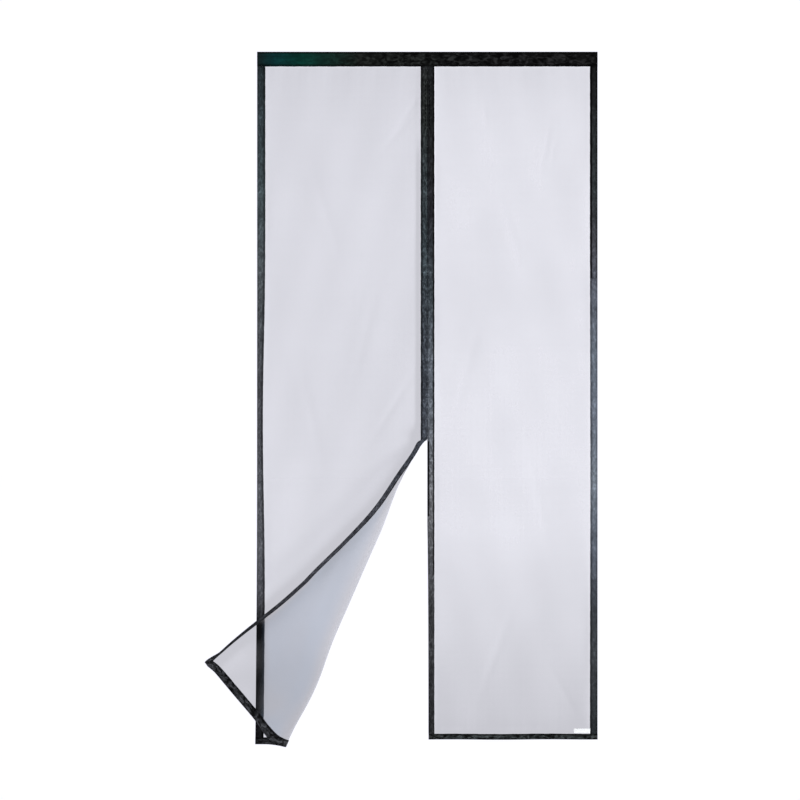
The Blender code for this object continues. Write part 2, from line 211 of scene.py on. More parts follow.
def fold(side, x, z, t):
    """Places flat panel points in space, before the freed hem's own twist.

    The outer tape turns about its own edge. The net has low sine waves. On the left, what lies past the fold line
    follows an arc about an axis along the fold, runs straight back, curls on a second arc and ends straight.
    """
    x, z, t = np.broadcast_arrays(np.asarray(x, float), z, t)
    in_from_edge = HALF_WIDTH - side * x
    turn = edge_turn(side, z)
    on_tape = np.minimum(in_from_edge, TAPE_WIDTH[side])
    fade = 1.0 - smooth_step((in_from_edge - TAPE_WIDTH[side]) / TURN_FADE)
    narrowing = -on_tape * (1.0 - np.cos(turn))
    forward = on_tape * np.sin(turn) * fade
    flat_x = x - side * narrowing * fade
    waves = np.sin(2 * np.pi * (x / WAVE_WIDTH + z / WAVE_LENGTH)) * np.sin(np.pi * in_from_edge / HALF_WIDTH)
    ease_in = smooth_step((HEADER_LIP - z) / WAVE_EASE)
    forward = forward + WAVE_HEIGHT * waves * ease_in
    on_turned_tape = turn * (1.0 - smooth_step((in_from_edge - TAPE_WIDTH[side]) / PLY))
    lean_x = side * t * np.sin(on_turned_tape)
    lean_y = -t * np.cos(on_turned_tape)
    if side == RIGHT:
        return np.stack([flat_x + lean_x, NET_Y - forward + lean_y, z], axis=-1)

    along_x, along_z = -np.sin(FOLD_ANGLE), -np.cos(FOLD_ANGLE)
    across_x, across_z = np.cos(FOLD_ANGLE), -np.sin(FOLD_ANGLE)
    along = flat_x * along_x + (z - OPENING_Z) * along_z
    across = flat_x * across_x + (z - OPENING_Z) * across_z
    radius = ROLL_RADIUS * smooth_through(PLACE_SHARE, RADIUS_SHARE, along / ROLL_LENGTH)
    tangent = -(radius + FOLD_SETBACK * smooth_through(PLACE_SHARE, SETBACK_SHARE, along / ROLL_LENGTH))
    rolled = np.maximum(across - tangent, 0.0)
    to_edge = -flat_x / np.cos(FOLD_ANGLE)
    arc_end = radius * ROLL_TURN
    curl_share = np.clip((rolled + to_edge - arc_end) / CURL_START, 0.0, 1.0)
    curl_begin = rolled + to_edge - CURL_START * curl_share
    curl_length = (CURL_START - CURL_END) * curl_share
    curl_radius = (CURL_START - CURL_END) / CURL_TURN

    arc = np.minimum(rolled, arc_end) / radius
    run = np.clip(np.minimum(rolled, curl_begin) - arc_end, 0.0, None)
    curl = np.clip(rolled - curl_begin, 0.0, curl_length) * (rolled > arc_end)
    heading = ROLL_TURN - curl / curl_radius
    tail = np.clip(rolled - curl_begin - curl_length, 0.0, None) * (rolled > arc_end)
    reach = (radius * np.sin(arc) + run * np.cos(ROLL_TURN)
             + curl_radius * (np.sin(ROLL_TURN) - np.sin(heading)) + tail * np.cos(heading))
    lift = (radius * (1.0 - np.cos(arc)) + run * np.sin(ROLL_TURN)
            + curl_radius * (np.cos(heading) - np.cos(ROLL_TURN)) + tail * np.sin(heading))
    facing = np.where(rolled < arc_end, arc, heading)

    on_roll = rolled > 0.0
    across_out = np.where(on_roll, tangent + ROLL_SLACK * reach, across) - t * np.sin(facing)
    out_x = along * along_x + across_out * across_x + lean_x
    out_z = OPENING_Z + along * along_z + across_out * across_z
    swing = FOOT_SWING * np.clip((OPENING_Z - out_z) / (OPENING_Z - BOTTOM), 0.0, None) ** 2
    out_y = NET_Y - forward - ROLL_SLACK * lift * on_roll + lean_y * np.cos(facing) - swing
    return np.stack([out_x, out_y, out_z], axis=-1)


def unit(vectors):
    """Vectors over their own lengths."""
    return vectors / np.linalg.norm(vectors, axis=-1, keepdims=True)


def hang(side, x, z, t):
    """fold, with the left panel's freed hem turned about its seam.

    Past the seam a point goes along a straight line that leaves the seam at right angles. Its direction swings
    from the cloth's own, at the opening, to one that stands off the picture plane by the stance angle, and
    where it turns edge on, its back is crumpled thicker and its front pressed thinner.
    """
    x, z, t = np.broadcast_arrays(np.asarray(x, float), z, t)
    placed = fold(side, x, z, t)
    freed = (side * x < HEM_SEAM) & (z < OPENING_Z + HEM_TWIST_START)
    if side == RIGHT or not freed.any():
        return placed
    height, depth = z[freed], OPENING_Z - z[freed]
    start = np.full(height.shape, -HEM_SEAM)
    at = fold(side, start, height, 0.0)
    run = unit(fold(side, start, height - SEAM_STEP, 0.0) - at)
    own = unit(fold(side, start + SEAM_STEP, height, 0.0) - at)
    viewer = np.array([0.0, -1.0, 0.0])
    toward = unit(viewer - run * (run @ viewer)[:, None])
    stance = HEM_STANCE + sum(more * smooth_step((depth - place) / length) for more, place, length in STANCE_CHANGES)
    stance = (stance - TIP_EASE * smooth_step((BOTTOM + TIP_EASE_LENGTH - height) / TIP_EASE_LENGTH))[:, None]
    standing = np.cos(stance) * np.cross(run, toward) + np.sin(stance) * toward
    twisted = smooth_step((depth + HEM_TWIST_START) / HEM_TWIST)[:, None]
    outward = unit(own * (1.0 - twisted) + standing * twisted)
    front = np.cross(run, outward)
    begun = smooth_step((depth + HEM_TWIST_START) / HEM_TWIST_START)
    crumple = 1.0 + HEM_CRUMPLE * near(depth - CRUMPLE_PLACE, CRUMPLE_LENGTH) * begun
    thick = np.where(t[freed] < 0, crumple, 1.0 / crumple) * t[freed]
    placed[freed] = at + outward * (HEM_SEAM + x[freed])[:, None] + front * thick[:, None]
    return placed


def uneven(at, longest, seed, octaves=4):
    """A wavering line between about -1 and 1: sines with seeded phases, each shorter and weaker than the last."""
    phases = np.random.default_rng(seed).uniform(0.0, 2 * np.pi, octaves)
    total = np.zeros(np.shape(at))
    for octave, phase in enumerate(phases):
        total = total + np.sin(2 * np.pi * np.asarray(at) * (2.17 ** octave) / longest + phase) / (1.6 ** octave)
    return total / 1.9


# Meshes

def add_object(name, data):
    """A new object in the scene."""
    made = bpy.data.objects.new(name, data)
    scene.collection.objects.link(made)
    return made


def make_piece(name, points, quads, cloth, material, replaced=(), shade=None):
    """A mesh object from points, faces of four corners and a cloth map in metres, riding on the root body.

    shade, where given, is a colour for each point that the material reads for the threads: their grey with painted
    shade, shadow and sheen.
    """
    mesh = bpy.data.meshes.new(name)
    mesh.from_pydata(points, [], quads)
    mesh.shade_smooth()
    layer = mesh.uv_layers.new(name="Cloth")
    layer.uv.foreach_set("vector", np.ascontiguousarray(cloth[quads.ravel()], np.float32).ravel())
    mesh.validate()
    piece = add_object(name, mesh)
    mesh.materials.append(material)
    if shade is not None:
        full = np.concatenate([shade, np.ones((len(shade), 1))], axis=1).astype(np.float32)
        mesh.attributes.new("Shade", "FLOAT_COLOR", "POINT").data.foreach_set("color", full.ravel())
    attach(piece, "root")
    if replaced:
        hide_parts(*replaced)
    return piece


def turned_outward(points, quads):
    """The quads, reversed if the closed body they make has a negative volume."""
    a, b, c, d = (points[quads[:, k]] for k in range(4))
    volume = np.einsum("ij,ij->", a, np.cross(b, c)) + np.einsum("ij,ij->", a, np.cross(c, d))
    return quads if volume > 0 else quads[:, ::-1]


def grid_quads(index):
    """Faces of four points between neighbouring rows and columns of a grid of point numbers."""
    return np.stack([index[:-1, :-1], index[1:, :-1], index[1:, 1:], index[:-1, 1:]], axis=-1).reshape(-1, 4)


def swept_ring(rings):
    """A closed body from a ring of points carried along a path: rings is stations x ring points x 3.

    The ring's second half runs back beside its first, so each end closes with a strip of quads between them.
    """
    points = rings.reshape(-1, 3)
    index = np.arange(len(points)).reshape(rings.shape[:2])
    half = rings.shape[1] // 2
    first, last = (grid_quads(np.stack([ring, ring[::-1]], axis=1)[:half]) for ring in index[[0, -1]])
    quads = np.concatenate([grid_quads(np.column_stack([index, index[:, 0]])), first, last[:, ::-1]])
    return points, turned_outward(points, quads)


def pairs(first, second):
    """Two arrays, spread to one shape, as a list of number pairs."""
    return np.stack(np.broadcast_arrays(first, second), axis=-1).reshape(-1, 2)


def make_swept(name, rings, along, across, material, replaced):
    """A piece from a ring carried along a path, its cloth map the places along and across."""
    points, quads = swept_ring(rings)
    return make_piece(name, points, quads, pairs(along, across), material, (replaced,))


# Materials

def rgba(colour):
    """Three values, or one for a grey, as a colour with full cover."""
    return (*np.broadcast_to(colour, 3), 1.0)


def new_material(name, **values):
    """A material whose constant numbers sit on the shader's own sockets."""
    material = bpy.data.materials.new(name)
    material.use_nodes = True
    for socket, value in values.items():
        material.node_tree.nodes["Principled BSDF"].inputs[socket.replace("_", " ")].default_value = value
    return material


def node(material, kind, **values):
    """Adds a node. Its settings go by name, and its sockets as in_ and a number or name, to be set or linked."""
    made = material.node_tree.nodes.new("ShaderNode" + kind)
    for key, value in values.items():
        if not key.startswith("in_"):
            setattr(made, key, value)
            continue
        socket = made.inputs[int(key[3:]) if key[3:].isdigit() else key[3:].replace("_", " ")]
        if isinstance(value, bpy.types.NodeSocket):
            material.node_tree.links.new(value, socket)
        elif value is not None:
            socket.default_value = value
    return made


def finished(material, colour, height=None, strength=0.0, depth=0.0, invert=False):
    """Gives the shader its colour and, from a height, a bump of this strength and depth."""
    sockets, links = material.node_tree.nodes["Principled BSDF"].inputs, material.node_tree.links
    links.new(colour, sockets["Base Color"])
    if height is not None:
        bump = node(material, "Bump", invert=invert, in_Strength=strength, in_Distance=depth,
                    in_Height=height)
        links.new(bump.outputs["Normal"], sockets["Normal"])
    return material


def maths(material, operation, first, second=None, third=None):
    """One Math node on sockets or plain numbers, giving its output socket."""
    return node(material, "Math", operation=operation, in_0=first, in_1=second, in_2=third).outputs[0]


def ramp(material, factor, stops):
    """A colour ramp: stops are (place, colour or grey)."""
    made = node(material, "ValToRGB", in_Fac=factor)
    elements = made.color_ramp.elements
    while len(elements) < len(stops):
        elements.new(0.5)
    for element, (place, colour) in zip(elements, stops):
        element.position = place
        element.color = rgba(colour)
    return made.outputs["Color"]


def mix_colour(material, blend_type, factor, first, second):
    """One colour mix on sockets, colours or greys."""
    first, second = (value if isinstance(value, bpy.types.NodeSocket) else rgba(value) for value in (first, second))
    return node(material, "Mix", data_type="RGBA", blend_type=blend_type, in_Factor=factor,
                in_6=first, in_7=second).outputs[2]


def shaded(material, colour, factor, stops, strength=1.0):
    """A colour times the ramp of a factor, at this strength."""
    return mix_colour(material, "MULTIPLY", strength, colour, ramp(material, factor, stops))


def noise(material, where, scale, **values):
    """A soft noise at the places given, from 0 to 1."""
    return node(material, "TexNoise", in_Vector=where, in_Scale=scale, **values).outputs["Fac"]


def object_place(material):
    """Object coordinates."""
    return node(material, "TexCoord").outputs["Object"]


def cloth_axes(material):
    """The piece's cloth map in millimetres: (whole vector, along, across)."""
    source = node(material, "UVMap", uv_map="Cloth").outputs["UV"]
    scaled = node(material, "VectorMath", operation="SCALE", in_0=source, in_3=1000.0).outputs[0]
    parts = node(material, "SeparateXYZ", in_0=scaled).outputs
    return scaled, parts["X"], parts["Y"]


def sine_lines(material, along, pitch, shift=0.0):
    """Lines 0 to 1 that repeat every pitch along one axis, shifted by a phase."""
    angle = maths(material, "MULTIPLY_ADD", along, 2 * np.pi / pitch, shift)
    return maths(material, "MULTIPLY_ADD", maths(material, "SINE", angle), 0.5, 0.5)


def tape_material(name, width, stops, borders, crinkle, sideways=False, spread=0.14, lean=0.0, grain=1.0,
                  marks=False, smooth_until=0.0, rim_width=SELVAGE_WIDTH, bare_span=None, plain_below=0.0):
    """Woven tape: fine ribs, dark selvages, painted highlights and shade of crinkles, paler rims over the magnets
    and a few lint specks.

    stops: place from 0 at the foot or left to 1, then red, green and blue in thousandths. borders: the light left
    at the folded edge and the lip. crinkle, spread, lean, grain: strength, range, slant and fineness of the
    crinkles' painted highlights and shade. marks: paler rims over the magnets. Up to smooth_until the crinkles'
    painted light and shade are weaker, in bare_span its folded edge is free and dark, and below plain_below its
    selvages show no line.
    """
    material = new_material(name, Roughness=0.75, Specular_IOR_Level=0.04)
    cloth, along, across = cloth_axes(material)
    where = object_place(material)
    axes = node(material, "SeparateXYZ", in_0=where).outputs
    axis, scale, start = (axes["X"], WIDTH, 0.5) if sideways else (axes["Z"], HEIGHT, -BOTTOM / HEIGHT)
    run = maths(material, "MULTIPLY_ADD", axis, 1 / scale, start)
    colour = ramp(material, run, [(place, np.array(parts) / 1000) for place, *parts in stops])

    share = maths(material, "DIVIDE", across, width * 1000)
    rim = rim_width / width
    inside = rim * RIM_FADE
    colour = shaded(material, colour, share, [
        (0.0, borders[0]), (rim, borders[0]), (inside, 1.0), (0.5, 1.10), (1.0 - inside, 1.0),
        (1.0 - rim, borders[1]), (1.0, borders[1])], maths(material, "GREATER_THAN", run, plain_below))
    if bare_span:
        low, high = bare_span
        bare = maths(material, "MULTIPLY", maths(material, "LESS_THAN", share, BARE_WIDTH * rim),
                          maths(material, "COMPARE", run, (low + high) / 2, (high - low) / 2))
        colour = mix_colour(material, "MULTIPLY", bare, colour, BARE_EDGE)

    drift = noise(material, where, 14.0, in_Detail=4.0, in_Roughness=0.6)
    colour = shaded(material, colour, drift, [(0.38, 0.80), (0.62, 1.20)])
    slanted = node(material, "Mapping", in_Vector=cloth, in_Rotation=(0.0, 0.0, lean),
                   in_Scale=(0.085 * grain, 0.17 * grain, 1.0)).outputs[0]
    folds = noise(material, slanted, 1.0, in_Detail=3.0, in_Roughness=0.62, in_Distortion=0.9)
    rough = 1.0
    if smooth_until:
        rough = maths(material, "MULTIPLY_ADD", run, 4.0, 0.5 - 4.0 * smooth_until)
        rough = maths(material, "MAXIMUM", maths(material, "MINIMUM", rough, 1.0), 0.15)
    # Painted highlights and shade of the crinkles, weaker up to smooth_until
    colour = shaded(material, colour, folds, [(CRINKLE_MIDDLE + place * spread, 1.0 + rise * crinkle)
                                              for place, rise in CRINKLE_PAINTED_LIGHT], rough)
    if marks:
        turn = maths(material, "MULTIPLY_ADD", along, 2 * np.pi / (MAGNET_PITCH * 1000),
                          -2 * np.pi * MAGNETS_AT[0] / MAGNET_PITCH)
        colour = shaded(material, colour, maths(material, "COSINE", turn),
                        [(0.950, 1.0), (0.965, 1.45), (0.985, 1.05), (1.0, 0.85)])

    weft = sine_lines(material, along, WEFT_PITCH, maths(material, "MULTIPLY", across, np.pi / WARP_PITCH))
    weave = maths(material, "MULTIPLY", sine_lines(material, across, WARP_PITCH), weft)
    colour = shaded(material, colour, weave, [(0.0, 0.80), (0.8, 1.25)])

    lint = node(material, "TexVoronoi", in_Vector=cloth, in_Scale=0.22).outputs["Distance"]
    speck = maths(material, "MULTIPLY", maths(material, "LESS_THAN", lint, 0.04), 0.4)
    colour = mix_colour(material, "ADD", speck, colour, 0.08)
    return finished(material, colour, maths(material, "MULTIPLY_ADD", folds, 6.0 * crinkle, weave), 0.6, 0.0005)


def net_material(name, tint):
    """Fine knitted net, seen through. Its threads take their lightness from the piece's own shade colours: their
    grey with painted shade, shadow and sheen.
    """
    material = new_material(name, Roughness=0.70, Specular_IOR_Level=0.05, Alpha=NET_COVER)
    along, across = cloth_axes(material)[1:]
    shade = node(material, "Attribute", attribute_name="Shade").outputs["Color"]
    colour = mix_colour(material, "MULTIPLY", 1.0, shade, tint)
    drift = noise(material, object_place(material), 3.2, in_Detail=4.0, in_Roughness=0.55)
    colour = shaded(material, colour, drift, [(0.30, 0.88), (0.70, 1.12)])
    threads = maths(material, "MAXIMUM", sine_lines(material, along, NET_PITCH),
                         sine_lines(material, across, NET_PITCH))
    colour = shaded(material, colour, threads, [(0.55, 1.10), (0.95, 0.75)])
    return finished(material, colour, threads, 0.25, 0.0002)


def thread_material():
    """Twisted sewing thread, dull and black."""
    material = new_material("sewing_thread", Roughness=0.9, Specular_IOR_Level=0.0)
    along, across = cloth_axes(material)[1:]
    twist = sine_lines(material, maths(material, "ADD", along, across), TWIST_PITCH)
    return finished(material, shaded(material, (0.0015, 0.0017, 0.0020), twist, [(0.0, 0.7), (1.0, 1.3)]))


def hook_material():
    """The hook side of a fastening strip: rows of small stiff hooks on a black ground."""
    material = new_material("hook_side", Roughness=0.55, Specular_IOR_Level=0.30)
    hooks = node(material, "TexVoronoi", in_Vector=object_place(material), in_Scale=700.0)
    hooks = hooks.outputs["Distance"]
    return finished(material, ramp(material, hooks, [(0.05, 0.035), (0.6, 0.006)]), hooks, 0.9, 0.0006, True)


def magnet_material():
    """Plated magnet with a faintly mottled finish."""
    material = new_material("magnet_plate", Roughness=0.35, Metallic=0.9)
    mottle = noise(material, object_place(material), 300.0, in_Detail=3.0)
    return finished(material, ramp(material, mottle, [(0.3, 0.25), (0.7, 0.40)]))


def label_material():
    """Blank white satin ribbon with fine ribs across it."""
    material = new_material("blank_ribbon", Roughness=0.45, Specular_IOR_Level=0.35, Sheen_Weight=0.2)
    cloth, along = cloth_axes(material)[:2]
    ribs = sine_lines(material, along, RIB_PITCH)
    worn = noise(material, cloth, 0.35, in_Detail=3.0)
    colour = ramp(material, ribs, [(0.0, 0.66), (1.0, 0.78)])
    colour = shaded(material, colour, worn, [(0.35, (0.86, 0.90, 0.88)), (0.65, 1.05)])
    return finished(material, colour, ribs, 0.3, 0.0001)


# The upright tapes are near black above and paler and bluer in the middle of the height, where painted sheen stands
# for the light on them; painted shade makes the left tape darker still where it lies behind the folded corner
HEADER_TAPE = tape_material("header_tape", HEADER_HEIGHT + HEADER_LIP_DROP, (
    (0.0, 6.0, 11, 11), (0.05, 2.2, 27, 27), (0.13, 1.6, 33, 23), (0.20, 4.0, 19, 14), (0.30, 6.8, 7.8, 6.8),
    (0.75, 5.5, 5.5, 5.7), (1.0, 5.5, 5.5, 5.5)), (0.30, 0.40), crinkle=0.90, sideways=True,
    spread=0.095, lean=0.6, grain=0.5, smooth_until=0.28)
LEFT_TAPE = tape_material("left_tape", TAPE_WIDTH[LEFT], (
    (0.0, 10, 10, 11), (0.09, 4, 5, 6), (0.168, 4, 5, 6), (0.20, 78, 80, 88), (0.36, 96, 101, 109),
    (0.50, 66, 68, 74), (0.66, 65, 74, 78), (0.80, 47, 64, 69), (0.90, 32, 44, 48), (1.0, 15, 22, 23)),
    (0.95, 0.50), crinkle=0.34)
RIGHT_TAPE_UPPER = tape_material("right_tape_upper", TAPE_WIDTH[RIGHT], (
    (0.66, 80, 87, 104), (0.72, 48, 49, 56), (0.80, 27, 32, 33), (0.92, 13, 14, 14.5), (1.0, 4, 4, 4)),
    (0.55, 0.08), crinkle=0.34)
RIGHT_TAPE_LOWER = tape_material("right_tape_lower", TAPE_WIDTH[RIGHT], (
    (0.0, 12, 15, 17), (0.10, 37, 41, 45), (0.185, 33, 37, 42), (0.28, 84, 96, 117), (0.39, 150, 174, 200),
    (0.47, 115, 132, 160), (0.56, 108, 128, 152), (0.66, 84, 92, 110)), (0.85, 0.65), crinkle=0.26)
LEFT_HEM = tape_material("left_hem_tape", INNER_HEM_WIDTH, (
    (0.0, 13, 14, 16), (0.18, 17, 18, 20), (0.24, 36, 37, 43), (0.36, 40, 42, 49), (0.44, 48, 55, 66),
    (0.57, 34, 40, 48), (0.70, 34, 45, 50), (0.82, 28, 36, 38), (0.91, 20, 23, 21), (1.0, 12, 13, 14)),
    (1.0, 0.35), crinkle=0.50, spread=0.12, marks=True)
RIGHT_HEM = tape_material("right_hem_tape", INNER_HEM_WIDTH, (
    (0.0, 13, 13, 14), (0.18, 36, 37, 39), (0.26, 56, 58, 62), (0.35, 128, 131, 136), (0.47, 96, 108, 122),
    (0.55, 88, 100, 115), (0.64, 40, 50, 56), (0.76, 15.5, 16, 19), (0.90, 11, 12, 12), (1.0, 11, 12, 13)),
    (0.85, 0.13), crinkle=0.42, spread=0.12, marks=True, rim_width=0.0040, bare_span=(0.325, 0.434),
    plain_below=0.24)
FOOT_TAPE = tape_material("foot_tape", BOTTOM_HEM_WIDTH, (
    (0.0, 23, 24, 26), (0.14, 20, 21, 22), (0.49, 18, 20, 20), (0.50, 36, 37, 37), (0.56, 18, 21, 21),
    (1.0, 18, 21, 21)), (0.85, 0.40), crinkle=0.90, sideways=True, spread=0.11, grain=0.7,
    rim_width=0.0045)
THREAD, HOOKS = thread_material(), hook_material()


# Nets

# Short soft creases of each net: place across, height, half length, half width, height of the ridge, lean
CREASES = {RIGHT: [
    (0.17, -0.165, 0.035, 0.006, 0.0022, 0.1), (0.35, -0.25, 0.06, 0.007, 0.0026, -0.18),
    (0.372, -0.27, 0.045, 0.005, 0.0018, -0.15), (0.25, -0.52, 0.11, 0.012, 0.002, 0.3),
    (0.12, -0.9, 0.14, 0.014, 0.0022, -0.25), (0.33, -1.3, 0.16, 0.015, 0.0024, 0.22),
    (0.2, -1.75, 0.12, 0.012, 0.0022, -0.35), (0.4, -1.86, 0.08, 0.01, 0.002, 0.5)], LEFT: [
    (0.05, -0.15, 0.07, 0.008, 0.0024, 0.6), (0.08, -0.21, 0.08, 0.008, 0.002, 0.7),
    (0.3, -0.45, 0.12, 0.012, 0.002, -0.3), (0.18, -0.8, 0.15, 0.014, 0.0022, 0.25),
    (0.34, -1.05, 0.13, 0.013, 0.0022, -0.2), (0.1, -1.02, 0.1, 0.01, 0.0026, 0.55),
    (0.26, -1.5, 0.12, 0.012, 0.002, 0.4)]}
# Lightness of the threads down each panel, as (height, lightness): their grey with painted shade, darkest towards
# the foot
NET_GREY_AND_PAINTED_SHADE = {
    LEFT: [(-0.047, 0.16), (-0.194, 0.22), (-0.415, 0.26), (-0.709, 0.26), (-1.003, 0.23), (-1.297, 0.27),
           (-1.473, 0.28), (-1.9, 0.26)],
    RIGHT: [(-0.047, 0.25), (-0.194, 0.35), (-0.415, 0.39), (-0.709, 0.335), (-1.003, 0.41), (-1.37, 0.38),
            (-1.517, 0.265), (-1.664, 0.205), (-1.811, 0.105), (-1.929, 0.05), (-1.96, 0.015)]}
# The folded corner: lightness at the foot, its rise with height, the painted sheen of the paler roll and the bluer
# cast of two layers
FOLDED_SHADE = 0.10
FOLDED_RISE = 0.43
FOLDED_FOOT = -1.93
FOLDED_FROM, FOLDED_REACH = 0.055, 0.045
FOLDED_CAST = np.array([0.0, 0.052, 0.105])
ROLL_PAINTED_SHEEN = 0.34
TIP_SHADE = 0.08
TIP_SHADE_X = -0.478
TIP_SHADE_REACH = 0.028
TAPE_BEHIND_X, TAPE_BEHIND_REACH = -0.490, 0.013
# Painted shadows beside the freed hem, on the panel's net and on the folded corner: depth and reach
HEM_PAINTED_SHADOW, HEM_SHADE_REACH = 0.60, 0.027
FOLDED_HEM_PAINTED_SHADOW, FOLDED_HEM_REACH = 0.08, 0.040


def net_surface(side):
    """The net's lift from its plane: broad folds, puckers that die away from the header and tapes, and creases.

    Each crease is a ridge exp(-(across/width)^2 - (along/length)^2) on its own leaning axis. tone_and_painted_light,
    which makes threads lighter or darker, is a little random tone, painted shading that follows the slopes,
    painted pale lines of light beside header, tapes and the right hem, and a painted shadow beside the left hem.
    """
    outer, inner = HALF_WIDTH - NET_INSET, HEM_SEAM - HEM_MOUTH
    fine = FINE_STEP * np.arange(FINE_ROWS)
    wide = np.linspace(outer - FINE_BAND, inner + FINE_BAND, int((outer - inner) / NET_STEP))
    tall = np.linspace(HEADER_LIP - FINE_BAND, BOTTOM + NET_INSET, int((HEIGHT - HEADER_HEIGHT) / NET_STEP))
    columns = np.concatenate([outer - fine, wide, inner + fine[::-1]])
    rows = np.concatenate([[TOP - NET_INSET, TOP - HEADER_HEIGHT / 2], HEADER_LIP - fine, tall])
    across, z = np.meshgrid(columns, rows)
    below = HEADER_LIP - z
    from_tape = HALF_WIDTH - TAPE_WIDTH[side] - across
    from_hem = across - HEM_SEAM
    above = z - BOTTOM_LIP
    lift = 0.0016 * np.sin(2 * np.pi * (across / 0.21 - z / 0.83) + 0.6 * np.sin(z * 9.0))
    lift += 0.0012 * np.sin(2 * np.pi * (across / 0.13 + z / 0.47) + 1.3)
    for along, away, height, length, reach, seed in (
            (across + 0.1 * z, below, 0.0010, 0.045, 0.07, 11), (z, from_tape, 0.0008, 0.052, 0.04, 21),
            (z, from_hem, 0.0008, 0.047, 0.04, 31), (across, above, 0.0008, 0.040, 0.04, 41)):
        lift += height * uneven(along, length, seed + side) * np.exp(-np.clip(away, 0, None) / reach)
    for x0, z0, length, width, ridge, lean in CREASES[side]:
        dx, dz = across - x0, z - z0
        over = dx * np.cos(lean) + dz * np.sin(lean)
        up = -dx * np.sin(lean) + dz * np.cos(lean)
        lift += ridge * near(over, width) * near(up, length)
    nearest = np.minimum(np.minimum(below, above), np.minimum(from_tape, from_hem))
    lift *= smooth_step(nearest / FINE_BAND)
    slope_z, slope_across = np.gradient(lift, rows, columns)
    tone_and_painted_light = 0.012 * uneven(across, 0.016, 91 + side) + 0.010 * uneven(z, 0.021, 95 + side)
    # Painted shading: the threads are made lighter or darker with the slope of the lift
    tone_and_painted_light += 0.30 * side * slope_across - 0.15 * slope_z
    # Painted light beside the hem: a pale line along the right hem, and a painted shadow a little way out from the
    # left hem
    if side == RIGHT:
        tone_and_painted_light += (0.16 + 0.26 * smooth_step((z + 0.75) / 0.4)) * near(from_hem, 0.003)
    else:
        tone_and_painted_light -= 0.42 * smooth_step((-0.20 - z) / 0.15) * near(from_hem - 0.0070, 0.0060)
    # Painted pale lines of light under the header's lip and beside the edge tape
    tone_and_painted_light += 0.16 * near(below - HEADER_LIP_DROP, 0.004) + 0.10 * near(from_tape, 0.005)
    return side * across, z, lift, tone_and_painted_light


def seam_distance(points):
    """How far each point is, seen square on, from the seam of the left panel's freed hem."""
    heights = np.linspace(OPENING_Z, BOTTOM, 150)
    seam = fold(LEFT, np.full(150, -HEM_SEAM), heights, 0.0)
    flat, seam = points[..., 0::2].reshape(-1, 1, 2), seam[:, 0::2]
    return np.linalg.norm(flat - seam, axis=-1).min(axis=1).reshape(points.shape[:-1])


def folded_shade(points, shade):
    """The left net's colours: shade with a painted shadow beside the freed hem, and on the folded corner a lightness
    that rises with height, falls near the tip, darkens in a painted shadow near the hem, and is paler with painted
    sheen where the cloth turns away on the roll."""
    normal = unit(np.cross(np.gradient(points, axis=0), np.gradient(points, axis=1)))
    turned = 1.0 - np.abs(normal[..., 1])
    folded = smooth_step((NET_Y - points[..., 1] - FOLDED_FROM) / FOLDED_REACH)
    clear = smooth_step((points[..., 0] - TIP_SHADE_X) / TIP_SHADE_REACH)
    corner = FOLDED_SHADE + FOLDED_RISE * np.clip(points[..., 2] - FOLDED_FOOT, 0.0, None)
    corner = corner * (TIP_SHADE + (1.0 - TIP_SHADE) * clear)
    # Painted shadows beside the freed hem's seam, on the panel's net and on the folded corner
    away = seam_distance(points)
    shade = shade - HEM_PAINTED_SHADOW * near(away, HEM_SHADE_REACH)
    corner = corner - FOLDED_HEM_PAINTED_SHADOW * near(away, FOLDED_HEM_REACH)
    # Painted sheen where the cloth on the roll turns sideways, left off over the tape behind it
    over_tape = near(points[..., 0] - TAPE_BEHIND_X, TAPE_BEHIND_REACH)
    sheen = ROLL_PAINTED_SHEEN * np.maximum(turned - 0.05, 0.0) * smooth_step((OPENING_Z - points[..., 2]) / 0.1)
    level = shade * (1.0 - folded) + corner * folded + sheen * (1.0 - over_tape)
    cast = folded * clear * (1.0 - smooth_step(2.5 * turned))
    return np.maximum(level, 0.0)[..., None] + cast[..., None] * FOLDED_CAST


def make_net(side):
    """One panel's net: the grid of net_surface, hung by hang.

    Its shade, the threads' grey with painted shade, follows the height, turns to that of the folded corner where the
    net comes forward, and is painted lighter or darker with the slope of each wrinkle.
    """
    x, z, lift, tone_and_painted_light = net_surface(side)
    points = hang(side, x, z, lift)
    heights, levels = np.array(NET_GREY_AND_PAINTED_SHADE[side])[::-1].T
    shade = np.interp(z, heights, levels) + tone_and_painted_light
    shade = folded_shade(points, shade) if side == LEFT else np.repeat(shade[..., None], 3, axis=-1)
    shade = np.clip(shade, 0.004, 0.9)
    quads = grid_quads(np.arange(x.size).reshape(x.shape))
    if side == RIGHT:
        quads = quads[:, ::-1]
    name = SIDE_NAME[side]
    material = net_material(name + "_net_cloth", (1.0, 1.0, NET_BLUE[side]))
    return make_piece(name + "_net_cloth", points.reshape(-1, 3), quads, pairs(x, z), material,
                      (name + "_net",), shade.reshape(-1, 3))


# Folded tapes

